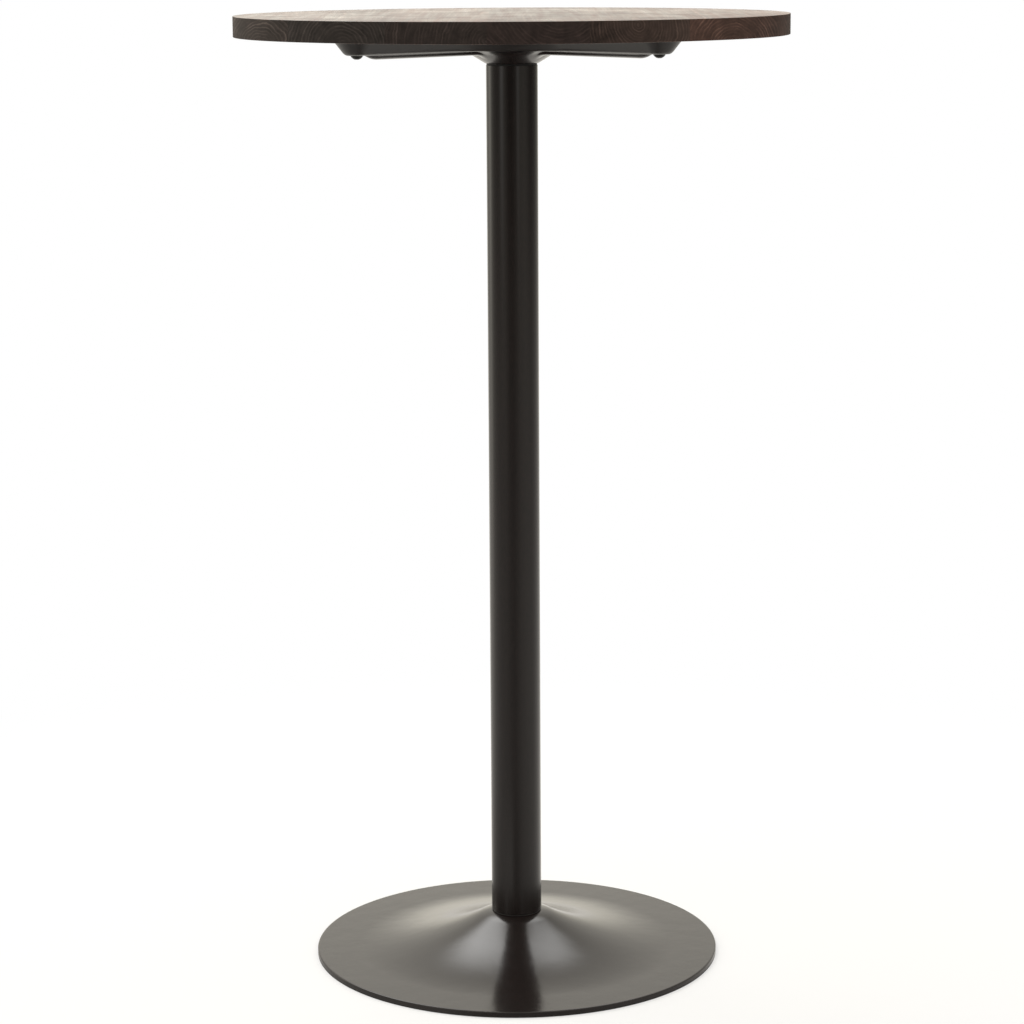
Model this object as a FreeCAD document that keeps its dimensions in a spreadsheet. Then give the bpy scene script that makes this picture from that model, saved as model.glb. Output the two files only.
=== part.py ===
"""Pub table: a round board top on a pressed steel spider, a tube column and a trumpet base.

One long tie rod runs up the column and clamps base, column and spider together.
Millimetres, +Z up, origin on the floor under the column's axis.
"""

import math
import os
import re

import FreeCAD
import Part
import Sketcher

Vector = FreeCAD.Vector
UPSIDE_DOWN = FreeCAD.Rotation(Vector(1, 0, 0), 180)
ARMS = 4

# The driving dimensions. Angles are in degrees, everything else in millimetres.
SIZES = {
    # round top of edge-glued boards, whose grain runs front to back
    "table_height": 1070,
    "top_diameter": 610,
    "top_thickness": 22.5,
    "top_easing": 1.2,
    "board_width": 103,
    "board_shift": -25,
    "narrowest_board": 25,
    # screws that hold the top, and what they go through
    "screw_circle_radius": 224,
    "screw_diameter": 6,
    "screw_grip": 12,
    "screw_head_diameter": 13.5,
    "screw_head_height": 4.4,
    "socket_width": 4,
    "socket_depth": 2.2,
    "insert_diameter": 9.5,
    "insert_length": 13,
    "insert_spare": 2,
    "spacer_diameter": 12,
    # pressed spider: four sloping-walled arms round a funnel
    "spider_turn": -1.5,
    "spider_sheet": 2.5,
    "arm_width": 50,
    "arm_depth": 16,
    "wall_draft": 38,
    "edge_radius": 9,
    "hub_radius": 72,
    "web_radius": 25,
    "funnel_mouth_radius": 54,
    "hub_depth": 31.5,
    "bead_radius": 7.5,
    "bead_drop": 5,
    "bead_reach": 196,
    "bead_nose_radius": 31,
    # column tube and its two centring plugs
    "column_diameter": 57,
    "column_wall": 2,
    "column_bevel": 0.4,
    "plug_length": 12,
    "plug_flange": 1.2,
    "plug_recess": 0.6,
    # tie rod and its fasteners
    "rod_diameter": 10,
    "rod_bevel": 1,
    "rod_spare": 6,
    "nut_width": 17,
    "nut_height": 8.4,
    "nut_bevel": 0.8,
    "washer_diameter": 46,
    "washer_thickness": 3,
    "spring_washer_width": 4,
    "spring_washer_thickness": 2.2,
    "spring_washer_split": 8,
    # trumpet base: spun cover, cast weight, rubber floor ring
    "base_diameter": 460,
    "rim_height": 6.3,
    "neck_height": 46.3,
    "cover_sheet": 1.5,
    "neck_slope": 10,
    "shoulder_slope": 27.5,
    "rim_slope": 0.3,
    "crown_radius": 50,
    "rim_rounding": 1.2,
    "ring_width": 25,
    "ring_thickness": 1.2,
    "recess_diameter": 56,
    "recess_height": 24,
    # clearances, each measured on one side
    "thread_clearance": 0.1,
    "spigot_clearance": 0.2,
    "weight_clearance": 0.3,
    "hole_clearance": 0.5,
}

doc = FreeCAD.newDocument("pub_table")
sheet = doc.addObject("Spreadsheet::Sheet", "sizes")
for row, (size_name, size_value) in enumerate(SIZES.items(), start=1):
    sheet.set(f"A{row}", size_name.replace("_", " "))
    sheet.set(f"B{row}", str(size_value))
    sheet.setAlias(f"B{row}", size_name)
doc.recompute()


# ---- reading the sheet ------------------------------------------------------------------------


def value(formula):
    """What a formula of the sheet's sizes comes to, as a number."""
    return float(sheet.evalExpression(formula))


def linked(formula):
    """The formula as another object of the document has to write it."""
    return re.sub(r"[a-z]+(?:_[a-z]+)*", lambda m: f"sizes.{m[0]}" if m[0] in SIZES else m[0], formula)


def bind(obj, setting, formula):
    obj.setExpression(setting, linked(formula))


def place(obj, height="0", turn="0", flipped=False):
    """Puts a piece on the table's axis at a height, turned about it and upside down if flipped."""
    rotation = UPSIDE_DOWN if flipped else FreeCAD.Rotation(Vector(0, 0, 1), value(turn))
    obj.Placement = FreeCAD.Placement(Vector(0, 0, value(height)), rotation)
    bind(obj, "Placement.Base.z", height)
    if turn != "0":
        bind(obj, "Placement.Rotation.Angle", f"({turn}) * 1deg")


# ---- sketches ---------------------------------------------------------------------------------


def new_sketch(body, name, plane):
    sketch = body.newObject("Sketcher::SketchObject", name)
    support = next(o for o in body.Origin.OriginFeatures if o.Role == plane)
    sketch.AttachmentSupport = [(support, "")]
    sketch.MapMode = "FlatFace"
    return sketch


def pin_point(sketch, geometry, end, across, up):
    """Ties one end of a line or arc, or a centre, to two formulas measured from the origin."""
    for kind, formula, axis in (("DistanceX", across, -2), ("DistanceY", up, -1)):
        distance = value(formula)
        if abs(distance) < 1e-9:
            sketch.addConstraint(Sketcher.Constraint("PointOnObject", geometry, end, axis))
        else:
            number = sketch.addConstraint(Sketcher.Constraint(kind, -1, 1, geometry, end, distance))
            bind(sketch, f"Constraints[{number}]", formula)


def add_circle(sketch, radius, across="0", up="0"):
    centre = Vector(value(across), value(up), 0)
    circle = sketch.addGeometry(Part.Circle(centre, Vector(0, 0, 1), value(radius)), False)
    pin_point(sketch, circle, 3, across, up)
    number = sketch.addConstraint(Sketcher.Constraint("Radius", circle, value(radius)))
    bind(sketch, f"Constraints[{number}]", radius)


def arc_between(start, end, radius):
    """The short arc from start to end, turning left if the radius is positive and right if negative."""
    chord = end - start
    middle = (start + end) * 0.5
    left = Vector(-chord.y, chord.x, 0).normalize()
    rise = math.sqrt(radius * radius - (chord.Length / 2) ** 2)
    centre = middle + left * math.copysign(rise, radius)
    first, last = (start, end) if radius > 0 else (end, start)
    angles = [math.atan2(p.y - centre.y, p.x - centre.x) for p in (first, last)]
    circle = Part.Circle(centre, Vector(0, 0, 1), abs(radius))
    return Part.ArcOfCircle(circle, angles[0], angles[1] + (2 * math.pi if angles[1] < angles[0] else 0))


def add_outline(sketch, corners, arcs=None):
    """A closed outline. arcs gives the sides that are round: the side's number and its radius.

    Side 0 runs from corner 0 to corner 1. A radius turns left, or right if its formula starts with -.
    """
    arcs = arcs or {}
    points = [Vector(value(across), value(up), 0) for across, up in corners]
    sides = []
    for side, start in enumerate(points):
        end = points[(side + 1) % len(points)]
        if side in arcs:
            curve = arc_between(start, end, value(arcs[side]))
            reverse = value(arcs[side]) < 0
        else:
            curve = Part.LineSegment(start, end)
            reverse = False
        number = sketch.addGeometry(curve, False)
        sides.append((number, 2, 1) if reverse else (number, 1, 2))
    for side, (number, first, _) in enumerate(sides):
        before, _, last = sides[side - 1]
        sketch.addConstraint(Sketcher.Constraint("Coincident", before, last, number, first))
        pin_point(sketch, number, first, *corners[side])
        if side in arcs:
            radius = arcs[side].lstrip("-")
            datum = sketch.addConstraint(Sketcher.Constraint("Radius", number, value(radius)))
            bind(sketch, f"Constraints[{datum}]", radius)


# ---- features ---------------------------------------------------------------------------------


def new_body(label):
    body = doc.addObject("PartDesign::Body", label)
    body.Label = label
    return body


def revolve(body, sketch, name, axis="V_Axis"):
    feature = body.newObject("PartDesign::Revolution", name)
    feature.Profile = (sketch, [""])
    feature.ReferenceAxis = (sketch, [axis])
    feature.Angle = 360
    sketch.Visibility = False
    return feature


def pad(body, sketch, name, length, down=False):
    feature = body.newObject("PartDesign::Pad", name)
    feature.Profile = (sketch, [""])
    feature.Reversed = down
    bind(feature, "Length", length)
    return feature


def pocket(body, sketch, name, depth=None, up=False):
    """Cuts down from the sketch, or up, to a depth or right through."""
    feature = body.newObject("PartDesign::Pocket", name)
    feature.Profile = (sketch, [""])
    feature.Reversed = up
    if depth is None:
        feature.Type = "ThroughAll"
        feature.Midplane = True
    else:
        bind(feature, "Length", depth)
    return feature


def round_the_axis(body, feature, name, count=ARMS):
    """Repeats a feature round the body's vertical axis."""
    pattern = body.newObject("PartDesign::PolarPattern", name)
    pattern.Originals = [feature]
    pattern.Axis = (next(o for o in body.Origin.OriginFeatures if o.Role == "Z_Axis"), [""])
    pattern.Angle = 360
    pattern.Occurrences = count
    body.Tip = pattern
    return pattern


def wanted_edges(base, wanted):
    """The base feature and the names of those of its edges that the test wants."""
    doc.recompute()
    return base, [f"Edge{n}" for n, edge in enumerate(base.Shape.Edges, start=1) if wanted(edge)]


def fillet(body, base, name, radius, wanted):
    """Rounds the edges of the base feature that the test wants."""
    feature = body.newObject("PartDesign::Fillet", name)
    feature.Base = wanted_edges(base, wanted)
    bind(feature, "Radius", radius)
    body.Tip = feature
    return feature


def chamfer(body, base, name, size, wanted):
    """Bevels the edges of the base feature that the test wants."""
    feature = body.newObject("PartDesign::Chamfer", name)
    feature.Base = wanted_edges(base, wanted)
    bind(feature, "Size", size)
    body.Tip = feature
    return feature


def rim_edge(radius, height=None):
    """The test for a circle of this radius round the axis, at this height if one is given."""
    def wanted(edge):
        if not isinstance(edge.Curve, Part.Circle) or abs(edge.Curve.Radius - value(radius)) > 1e-6:
            return False
        return height is None or abs(edge.Curve.Center.z - value(height)) < 1e-6
    return wanted


def turned(label, corners, arcs=None):
    """A piece of revolution from its half section, given as (radius, height) corners."""
    body = new_body(label)
    sketch = new_sketch(body, f"{label}_section", "XZ_Plane")
    add_outline(sketch, corners, arcs)
    return body, revolve(body, sketch, f"{label}_turning")


def ring_section(bore, radius, low, high):
    return [(bore, low), (radius, low), (radius, high), (bore, high)]


# ---- heights and radii that several pieces share ----------------------------------------------

WOOD_UNDERSIDE = "(table_height - top_thickness)"
COLUMN_RADIUS = "(column_diameter / 2)"
COLUMN_FOOT = "(neck_height + plug_flange)"
COLUMN_HEAD = f"({WOOD_UNDERSIDE} - hub_depth - plug_flange)"
ROD_HOLE = "(rod_diameter / 2 + hole_clearance)"
SCREW_HOLE = "(screw_diameter / 2 + hole_clearance)"
SCREW_TURN = "(45 + spider_turn)"
BASE_RADIUS = "(base_diameter / 2)"


# ---- top --------------------------------------------------------------------------------------


def make_top_blank():
    """The glued-up disc with its blind insert holes, before it is parted into boards."""
    body = new_body("top_blank")
    disc = new_sketch(body, "disc_outline", "XY_Plane")
    add_circle(disc, "top_diameter / 2")
    disc_pad = pad(body, disc, "disc", "top_thickness")
    eased = chamfer(body, disc_pad, "eased_rim", "top_easing", rim_edge("top_diameter / 2"))
    seat = new_sketch(body, "insert_seat", "XY_Plane")
    add_circle(seat, "insert_diameter / 2 + thread_clearance",
               f"screw_circle_radius * cos({SCREW_TURN} * 1deg)",
               f"screw_circle_radius * sin({SCREW_TURN} * 1deg)")
    hole = pocket(body, seat, "insert_hole", "insert_length + insert_spare", up=True)
    doc.recompute()
    if hole.Shape.Volume >= eased.Shape.Volume:
        raise RuntimeError("the insert hole cuts nothing")
    round_the_axis(body, hole, "insert_holes")
    place(body, WOOD_UNDERSIDE)
    return body


def board_joints():
    """Where the glue joints run, as formulas of x: one board width apart, clear of the rim."""
    reach = value("top_diameter / 2 - narrowest_board")
    steps = math.ceil(2 * reach / value("board_width"))
    joints = [f"(board_shift + {step} * board_width)" for step in range(-steps, steps + 1)]
    return [joint for joint in joints if abs(value(joint)) < reach]


def make_boards():
    """Parts the blank at the glue joints. The outer boards run out to the rim."""
    blank = make_top_blank()
    bounds = ["(-top_diameter / 2)", *board_joints(), "(top_diameter / 2)"]
    boards = []
    for number, (left, right) in enumerate(zip(bounds, bounds[1:]), start=1):
        slab = doc.addObject("Part::Box", f"slab_{number}")
        bind(slab, "Length", f"{right} - {left}")
        bind(slab, "Width", "top_diameter")
        bind(slab, "Height", "top_thickness")
        bind(slab, "Placement.Base.x", left)
        bind(slab, "Placement.Base.y", "-top_diameter / 2")
        bind(slab, "Placement.Base.z", WOOD_UNDERSIDE)
        board = doc.addObject("Part::Common", f"top_board_{number}")
        board.Base = blank
        board.Tool = slab
        boards.append(board)
    return boards


# ---- spider -----------------------------------------------------------------------------------


def make_pressing(name, skin):
    """The spider's outer form, or the hollow inside it when skin is the sheet's thickness.

    Height 0 is the underside of the wood, and the first arm lies along X.
    """
    body = new_body(name)
    wall_skin = f"({skin}) / cos(wall_draft * 1deg)"
    depth = f"(arm_depth - ({skin}))"
    half_width = f"(arm_width / 2 - {wall_skin})"

    hub = new_sketch(body, f"{name}_hub_outline", "XY_Plane")
    add_circle(hub, f"hub_radius - {wall_skin}")
    hub_pad = pad(body, hub, f"{name}_hub", depth, down=True)
    bind(hub_pad, "TaperAngle", "-wall_draft * 1deg")

    arm = new_sketch(body, f"{name}_arm_outline", "XY_Plane")
    corners = [("0", f"-{half_width}"), ("screw_circle_radius", f"-{half_width}"),
               (f"screw_circle_radius + {half_width}", "0"),
               ("screw_circle_radius", half_width), ("0", half_width)]
    add_outline(arm, corners, {1: half_width, 2: half_width})
    arm_pad = pad(body, arm, f"{name}_arm", depth, down=True)
    bind(arm_pad, "TaperAngle", "-wall_draft * 1deg")
    arms = round_the_axis(body, arm_pad, f"{name}_arms")

    floor = -value(depth)
    near_hub = value("hub_radius") * 1.1

    def is_web(edge):
        heights = sorted(v.Z for v in edge.Vertexes)
        radii = [math.hypot(v.X, v.Y) for v in edge.Vertexes]
        return len(heights) == 2 and heights[1] - heights[0] > -floor * 0.9 and max(radii) < near_hub

    def is_floor_edge(edge):
        return edge.BoundBox.ZMax < floor + 1e-4

    webs = fillet(body, arms, f"{name}_webs", f"web_radius + ({skin})", is_web)
    fillet(body, webs, f"{name}_floor_edges", f"edge_radius - ({skin})", is_floor_edge)

    slope = f"atan((hub_depth - arm_depth) / (funnel_mouth_radius - {COLUMN_RADIUS}))"
    shift = f"({skin}) * tan({slope} / 2)"
    funnel = new_sketch(body, f"{name}_funnel_section", "XZ_Plane")
    add_outline(funnel, [("0", f"-{depth} / 2"), ("0", f"-(hub_depth - ({skin}))"),
                         (f"{COLUMN_RADIUS} - {shift}", f"-(hub_depth - ({skin}))"),
                         (f"funnel_mouth_radius - {shift}", f"-{depth}"),
                         (f"funnel_mouth_radius - {shift}", f"-{depth} / 2")])
    revolve(body, funnel, f"{name}_funnel")

    bead_section = new_sketch(body, f"{name}_bead_section", "XZ_Plane")
    bind(bead_section, "AttachmentOffset.Base.y", "bead_radius - bead_drop - arm_depth")
    radius = f"(bead_radius - ({skin}))"
    nose = f"(bead_nose_radius - ({skin}))"
    nose_run = f"sqrt({nose} * {nose} - (bead_nose_radius - bead_radius) * (bead_nose_radius - bead_radius))"
    add_outline(bead_section, [(COLUMN_RADIUS, "0"), (COLUMN_RADIUS, f"-{radius}"), ("bead_reach", f"-{radius}"),
                               (f"bead_reach + {nose_run}", "0")], {2: nose})
    bead = revolve(body, bead_section, f"{name}_bead", "H_Axis")
    round_the_axis(body, bead, f"{name}_beads")
    return body


def make_spider():
    """Pressed from one sheet, its open side up against the wood, a hole in each arm's floor."""
    form = make_pressing("spider_form", "0")
    rod_sketch = new_sketch(form, "spider_rod_hole_outline", "XY_Plane")
    add_circle(rod_sketch, ROD_HOLE)
    pocket(form, rod_sketch, "spider_rod_hole")
    screw_sketch = new_sketch(form, "spider_screw_hole_outline", "XY_Plane")
    add_circle(screw_sketch, SCREW_HOLE, "screw_circle_radius")
    round_the_axis(form, pocket(form, screw_sketch, "spider_screw_hole"), "spider_screw_holes")
    hollow = make_pressing("spider_hollow", "spider_sheet")
    for body in (form, hollow):
        place(body, WOOD_UNDERSIDE, SCREW_TURN)
    spider = doc.addObject("Part::Cut", "top_spider")
    spider.Base = form
    spider.Tool = hollow
    return spider


# ---- screws, inserts and spacers, one at the end of each arm ----------------------------------


def on_each_arm(label, pattern):
    """One node of separate solids: the pattern piece at every screw place, its height 0 at the wood."""
    doc.recompute()
    copies = []
    for arm in range(ARMS):
        turn = FreeCAD.Rotation(Vector(0, 0, 1), value(SCREW_TURN) + arm * 360 / ARMS)
        spot = turn.multVec(Vector(value("screw_circle_radius"), 0, 0))
        copy = pattern.Shape.copy()
        copy.Placement = FreeCAD.Placement(spot, turn).multiply(copy.Placement)
        copies.append(copy)
    piece = doc.addObject("Part::Feature", label)
    piece.Shape = Part.makeCompound(copies)
    piece.Placement = FreeCAD.Placement(Vector(0, 0, value(WOOD_UNDERSIDE)), FreeCAD.Rotation())
    return piece


def hexagon(sketch, across_flats):
    """A closed hexagon with two corners on the X axis."""
    corner = f"({across_flats}) / 2 / cos(30deg)"
    add_outline(sketch, [(f"{corner} * cos({60 * k}deg)", f"{corner} * sin({60 * k}deg)") for k in range(6)])


def make_arm_screws():
    """Dome-headed socket screws, driven up through the arms, their heads against the arm floors."""
    seat = "(-arm_depth)"
    crown = f"({seat} - screw_head_height)"
    dome_radius = "((screw_head_diameter / 2) ^ 2 + screw_head_height ^ 2) / (2 * screw_head_height)"
    body, _ = turned("arm_screw_pattern", [
        ("0", "screw_grip"), ("0", crown), ("screw_head_diameter / 2", seat),
        ("screw_diameter / 2", seat), ("screw_diameter / 2", "screw_grip"),
    ], {1: dome_radius})
    socket = new_sketch(body, "socket_outline", "XY_Plane")
    bind(socket, "AttachmentOffset.Base.z", crown)
    hexagon(socket, "socket_width")
    pocket(body, socket, "socket", "socket_depth", up=True)
    return on_each_arm("arm_screws", body)


def make_threaded_inserts():
    body, _ = turned("insert_pattern", ring_section(
        "screw_diameter / 2 + thread_clearance", "insert_diameter / 2", "0", "insert_length"))
    return on_each_arm("threaded_inserts", body)


def make_arm_spacers():
    """Tubes inside the arms that carry the screws' clamping force from the arm floor to the wood."""
    body, _ = turned("spacer_pattern", ring_section(
        SCREW_HOLE, "spacer_diameter / 2", "-(arm_depth - spider_sheet)", "0"))
    return on_each_arm("arm_spacers", body)


# ---- column -----------------------------------------------------------------------------------


def make_column_tube():
    length = f"({COLUMN_HEAD} - {COLUMN_FOOT})"
    bore = f"{COLUMN_RADIUS} - column_wall"
    body, _ = turned("column_tube", [
        (bore, "0"), (f"{COLUMN_RADIUS} - column_bevel", "0"), (COLUMN_RADIUS, "column_bevel"),
        (COLUMN_RADIUS, f"{length} - column_bevel"), (f"{COLUMN_RADIUS} - column_bevel", length), (bore, length),
    ])
    place(body, COLUMN_FOOT)
    return body


def make_column_plug(label, height, flipped):
    """Centres one end of the tube. Its thin flange lies under the tube's end and shows as a dark seam."""
    spigot = f"{COLUMN_RADIUS} - column_wall - spigot_clearance"
    flange = f"{COLUMN_RADIUS} - plug_recess"
    top = "plug_flange + plug_length"
    body, _ = turned(label, [
        (ROD_HOLE, "0"), (flange, "0"), (flange, "plug_flange"),
        (spigot, "plug_flange"), (spigot, top), (ROD_HOLE, top),
    ])
    place(body, height, flipped=flipped)
    return body


# ---- tie rod and its fasteners ----------------------------------------------------------------

LOWER_WASHER = "recess_height"
UPPER_WASHER = f"({WOOD_UNDERSIDE} - hub_depth + spider_sheet)"
STACK = "(washer_thickness + spring_washer_thickness + nut_height)"
ROD_FOOT = f"({LOWER_WASHER} - {STACK} - rod_spare)"
ROD_HEAD = f"({UPPER_WASHER} + {STACK} + rod_spare)"


def make_tie_rod():
    length = f"({ROD_HEAD} - {ROD_FOOT})"
    radius = "rod_diameter / 2"
    body, _ = turned("tie_rod", [
        ("0", "0"), (f"{radius} - rod_bevel", "0"), (radius, "rod_bevel"),
        (radius, f"{length} - rod_bevel"), (f"{radius} - rod_bevel", length), ("0", length),
    ])
    place(body, ROD_FOOT)
    return body


def make_nut(label, height, flipped):
    """A hexagon nut whose corners are bevelled on the outer face."""
    body = new_body(label)
    outline = new_sketch(body, f"{label}_outline", "XY_Plane")
    hexagon(outline, "nut_width")
    add_circle(outline, "rod_diameter / 2 + thread_clearance")
    pad(body, outline, f"{label}_blank", "nut_height")
    corner = "nut_width / 2 / cos(30deg)"
    bevel = new_sketch(body, f"{label}_bevel_section", "XZ_Plane")
    add_outline(bevel, [(f"{corner} + nut_bevel", "nut_height - 2 * nut_bevel"),
                        (f"{corner} + nut_bevel", "nut_height + nut_bevel"),
                        (f"{corner} - 2 * nut_bevel", "nut_height + nut_bevel")])
    groove = body.newObject("PartDesign::Groove", f"{label}_bevel")
    groove.Profile = (bevel, [""])
    groove.ReferenceAxis = (bevel, ["V_Axis"])
    groove.Angle = 360
    place(body, height, flipped=flipped)
    return body


def make_spring_washer(label, height, flipped):
    """A split ring, flattened by the nut."""
    body, ring = turned(label, ring_section(
        ROD_HOLE, f"{ROD_HOLE} + spring_washer_width", "0", "spring_washer_thickness"))
    bind(ring, "Angle", "(360 - spring_washer_split) * 1deg")
    place(body, height, flipped=flipped)
    return body


def make_washer(label, height, flipped):
    """The wide plate that spreads the rod's pull."""
    body, _ = turned(label, ring_section(ROD_HOLE, "washer_diameter / 2", "0", "washer_thickness"))
    place(body, height, flipped=flipped)
    return body


def make_clamp_set(end, seat, flipped):
    """Washer, spring washer and nut, stacked away from the column at one end of the rod."""
    away = "-" if flipped else "+"
    return [
        make_washer(f"{end}_washer", seat, flipped),
        make_spring_washer(f"{end}_spring_washer", f"{seat} {away} washer_thickness", flipped),
        make_nut(f"{end}_nut", f"{seat} {away} (washer_thickness + spring_washer_thickness)", flipped),
    ]


# ---- base -------------------------------------------------------------------------------------


def trumpet_line(gap):
    """The trumpet's line, a gap inside its outer skin, from the column's edge down and out to the rim.

    A crown that bows outwards, a flare that bows inwards and is tangent to it, and then a nearly
    flat cone. The flare's radius is what joins the crown to the rim at its height.
    """
    neck, shoulder, rim = (f"({slope} * 1deg)" for slope in ("neck_slope", "shoulder_slope", "rim_slope"))
    crown_run = f"(crown_radius * (sin({shoulder}) - sin({neck})))"
    crown_drop = f"(crown_radius * (cos({neck}) - cos({shoulder})))"
    run = f"({BASE_RADIUS} - {COLUMN_RADIUS} - {crown_run})"
    drop = f"(neck_height - rim_height - {crown_drop})"
    flare = (f"(({drop} - {run} * tan({rim})) / (cos({rim}) - cos({shoulder})"
             f" - (sin({shoulder}) - sin({rim})) * tan({rim})))")
    flare_run = f"({flare} * (sin({shoulder}) - sin({rim})))"
    flare_drop = f"({flare} * (cos({rim}) - cos({shoulder})))"

    def inside(across, up, slope):
        return (f"({across} - ({gap}) * sin({slope}))", f"({up} - ({gap}) * cos({slope}))")

    neck_end = inside(COLUMN_RADIUS, "neck_height", neck)
    shoulder_end = inside(f"{COLUMN_RADIUS} + {crown_run}", f"neck_height - {crown_drop}", shoulder)
    flare_end = inside(f"{COLUMN_RADIUS} + {crown_run} + {flare_run}",
                       f"neck_height - {crown_drop} - {flare_drop}", rim)
    return neck_end, shoulder_end, flare_end, f"(crown_radius - ({gap}))", f"({flare} + ({gap}))"


def crown_start(gap, height):
    """Where the crown's arc, a gap inside the skin, comes down from the neck to a height."""
    centre_across = f"({COLUMN_RADIUS} - crown_radius * sin(neck_slope * 1deg))"
    rise = f"({height} - (neck_height - crown_radius * cos(neck_slope * 1deg)))"
    radius = f"(crown_radius - ({gap}))"
    return f"({centre_across} + sqrt({radius} * {radius} - {rise} * {rise}))", height


def rim_level(gap, across):
    """The height of the nearly flat outer cone, a gap inside the skin, at a radius."""
    return f"(rim_height - ({gap}) / cos(rim_slope * 1deg) + ({BASE_RADIUS} - {across}) * tan(rim_slope * 1deg))"


def make_base_cover():
    """Spun from sheet: a flat neck under the column, the trumpet, and a short lip down at the rim."""
    neck_end, shoulder_end, flare_end, crown, flare = trumpet_line("0")
    _, shoulder_in, flare_in, crown_in, flare_in_radius = trumpet_line("cover_sheet")
    lip = f"({BASE_RADIUS} - cover_sheet)"
    under_neck = "(neck_height - cover_sheet)"
    body, turning = turned("base_cover", [
        (ROD_HOLE, under_neck),
        crown_start("cover_sheet", under_neck), shoulder_in, flare_in, (lip, rim_level("cover_sheet", lip)),
        (lip, "ring_thickness"), (BASE_RADIUS, "ring_thickness"), (BASE_RADIUS, "rim_height"),
        flare_end, shoulder_end, neck_end, (ROD_HOLE, "neck_height"),
    ], {1: f"-{crown_in}", 2: flare_in_radius, 8: f"-{flare}", 9: crown})
    fillet(body, turning, "rounded_rim", "rim_rounding", rim_edge(BASE_RADIUS, "rim_height"))
    place(body)
    return body


def make_base_weight():
    """Cast iron that fills the cover, with a recess in its underside for the rod's lower nut."""
    gap = "cover_sheet + weight_clearance"
    neck_end, shoulder_end, flare_end, crown, flare = trumpet_line(gap)
    edge = f"({BASE_RADIUS} - cover_sheet - weight_clearance)"
    boss = "(neck_height - cover_sheet)"
    body, _ = turned("base_weight", [
        (ROD_HOLE, "recess_height"), ("recess_diameter / 2", "recess_height"),
        ("recess_diameter / 2", "ring_thickness"), (edge, "ring_thickness"), (edge, rim_level(gap, edge)),
        flare_end, shoulder_end, neck_end, (neck_end[0], boss), (ROD_HOLE, boss),
    ], {5: f"-{flare}", 6: crown})
    place(body)
    return body


def make_floor_ring():
    """Rubber ring under the cover's lip and the weight's edge: what the table stands on."""
    body, _ = turned("floor_ring", ring_section(f"{BASE_RADIUS} - ring_width", BASE_RADIUS, "0", "ring_thickness"))
    place(body)
    return body


# ---- assembly and hand-over -------------------------------------------------------------------

pieces = [
    *make_boards(),
    make_threaded_inserts(),
    make_arm_spacers(),
    make_arm_screws(),
    make_spider(),
    make_column_plug("column_top_plug", f"{COLUMN_HEAD} + plug_flange", True),
    make_column_tube(),
    make_column_plug("column_foot_plug", "neck_height", False),
    make_tie_rod(),
    *make_clamp_set("upper", UPPER_WASHER, False),
    *make_clamp_set("lower", LOWER_WASHER, True),
    make_base_cover(),
    make_base_weight(),
    make_floor_ring(),
]
doc.recompute()

for obj in doc.Objects:
    if "Invalid" in obj.State or "Error" in obj.State:
        raise RuntimeError(f"{obj.Name} failed: {obj.State}")
os.makedirs("parts", exist_ok=True)
for piece in pieces:
    if piece.Shape.isNull() or not piece.Shape.isValid():
        raise RuntimeError(f"{piece.Label} has no valid shape")
    piece.Shape.exportStep(f"parts/{piece.Label}.step")
    box = piece.Shape.BoundBox
    print(f"{piece.Label:22s} {len(piece.Shape.Solids)} solid(s)  volume {piece.Shape.Volume:12.1f}"
          f"  z {box.ZMin:8.2f} .. {box.ZMax:8.2f}")
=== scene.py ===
"""A pub table: round board top, pressed steel spider, tube column and a trumpet base.

It is put together from the floor up, in metres, with the column's axis on the Z axis.
"""

import math

import bmesh
import bpy
from mathutils import Color, Matrix, Vector


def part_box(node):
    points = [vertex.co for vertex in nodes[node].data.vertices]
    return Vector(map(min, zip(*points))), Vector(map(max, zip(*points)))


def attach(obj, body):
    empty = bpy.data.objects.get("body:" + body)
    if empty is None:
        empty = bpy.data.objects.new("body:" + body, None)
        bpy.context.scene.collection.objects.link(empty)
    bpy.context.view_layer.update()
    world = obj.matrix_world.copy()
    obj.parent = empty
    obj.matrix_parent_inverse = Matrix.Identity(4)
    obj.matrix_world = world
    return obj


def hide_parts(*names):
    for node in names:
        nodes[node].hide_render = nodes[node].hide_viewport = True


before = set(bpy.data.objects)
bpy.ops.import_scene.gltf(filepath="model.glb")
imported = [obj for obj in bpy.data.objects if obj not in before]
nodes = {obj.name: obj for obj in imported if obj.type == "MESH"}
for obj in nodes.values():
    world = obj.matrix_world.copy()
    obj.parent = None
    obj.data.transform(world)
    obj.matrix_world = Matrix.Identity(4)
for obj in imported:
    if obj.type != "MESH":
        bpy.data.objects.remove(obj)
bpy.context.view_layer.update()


# ---- Floor ring -------------------------------------------------------------------------------
# A flat black rubber ring, cut from sheet and glued under the edge of the base, so that the
# table grips the floor and the paint stays off it.

ring_low, ring_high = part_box("floor_ring")
base_radius = ring_high.x
ring_width = 0.025
base_segments = 256
weld = 1e-7  # points nearer than this are one


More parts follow.
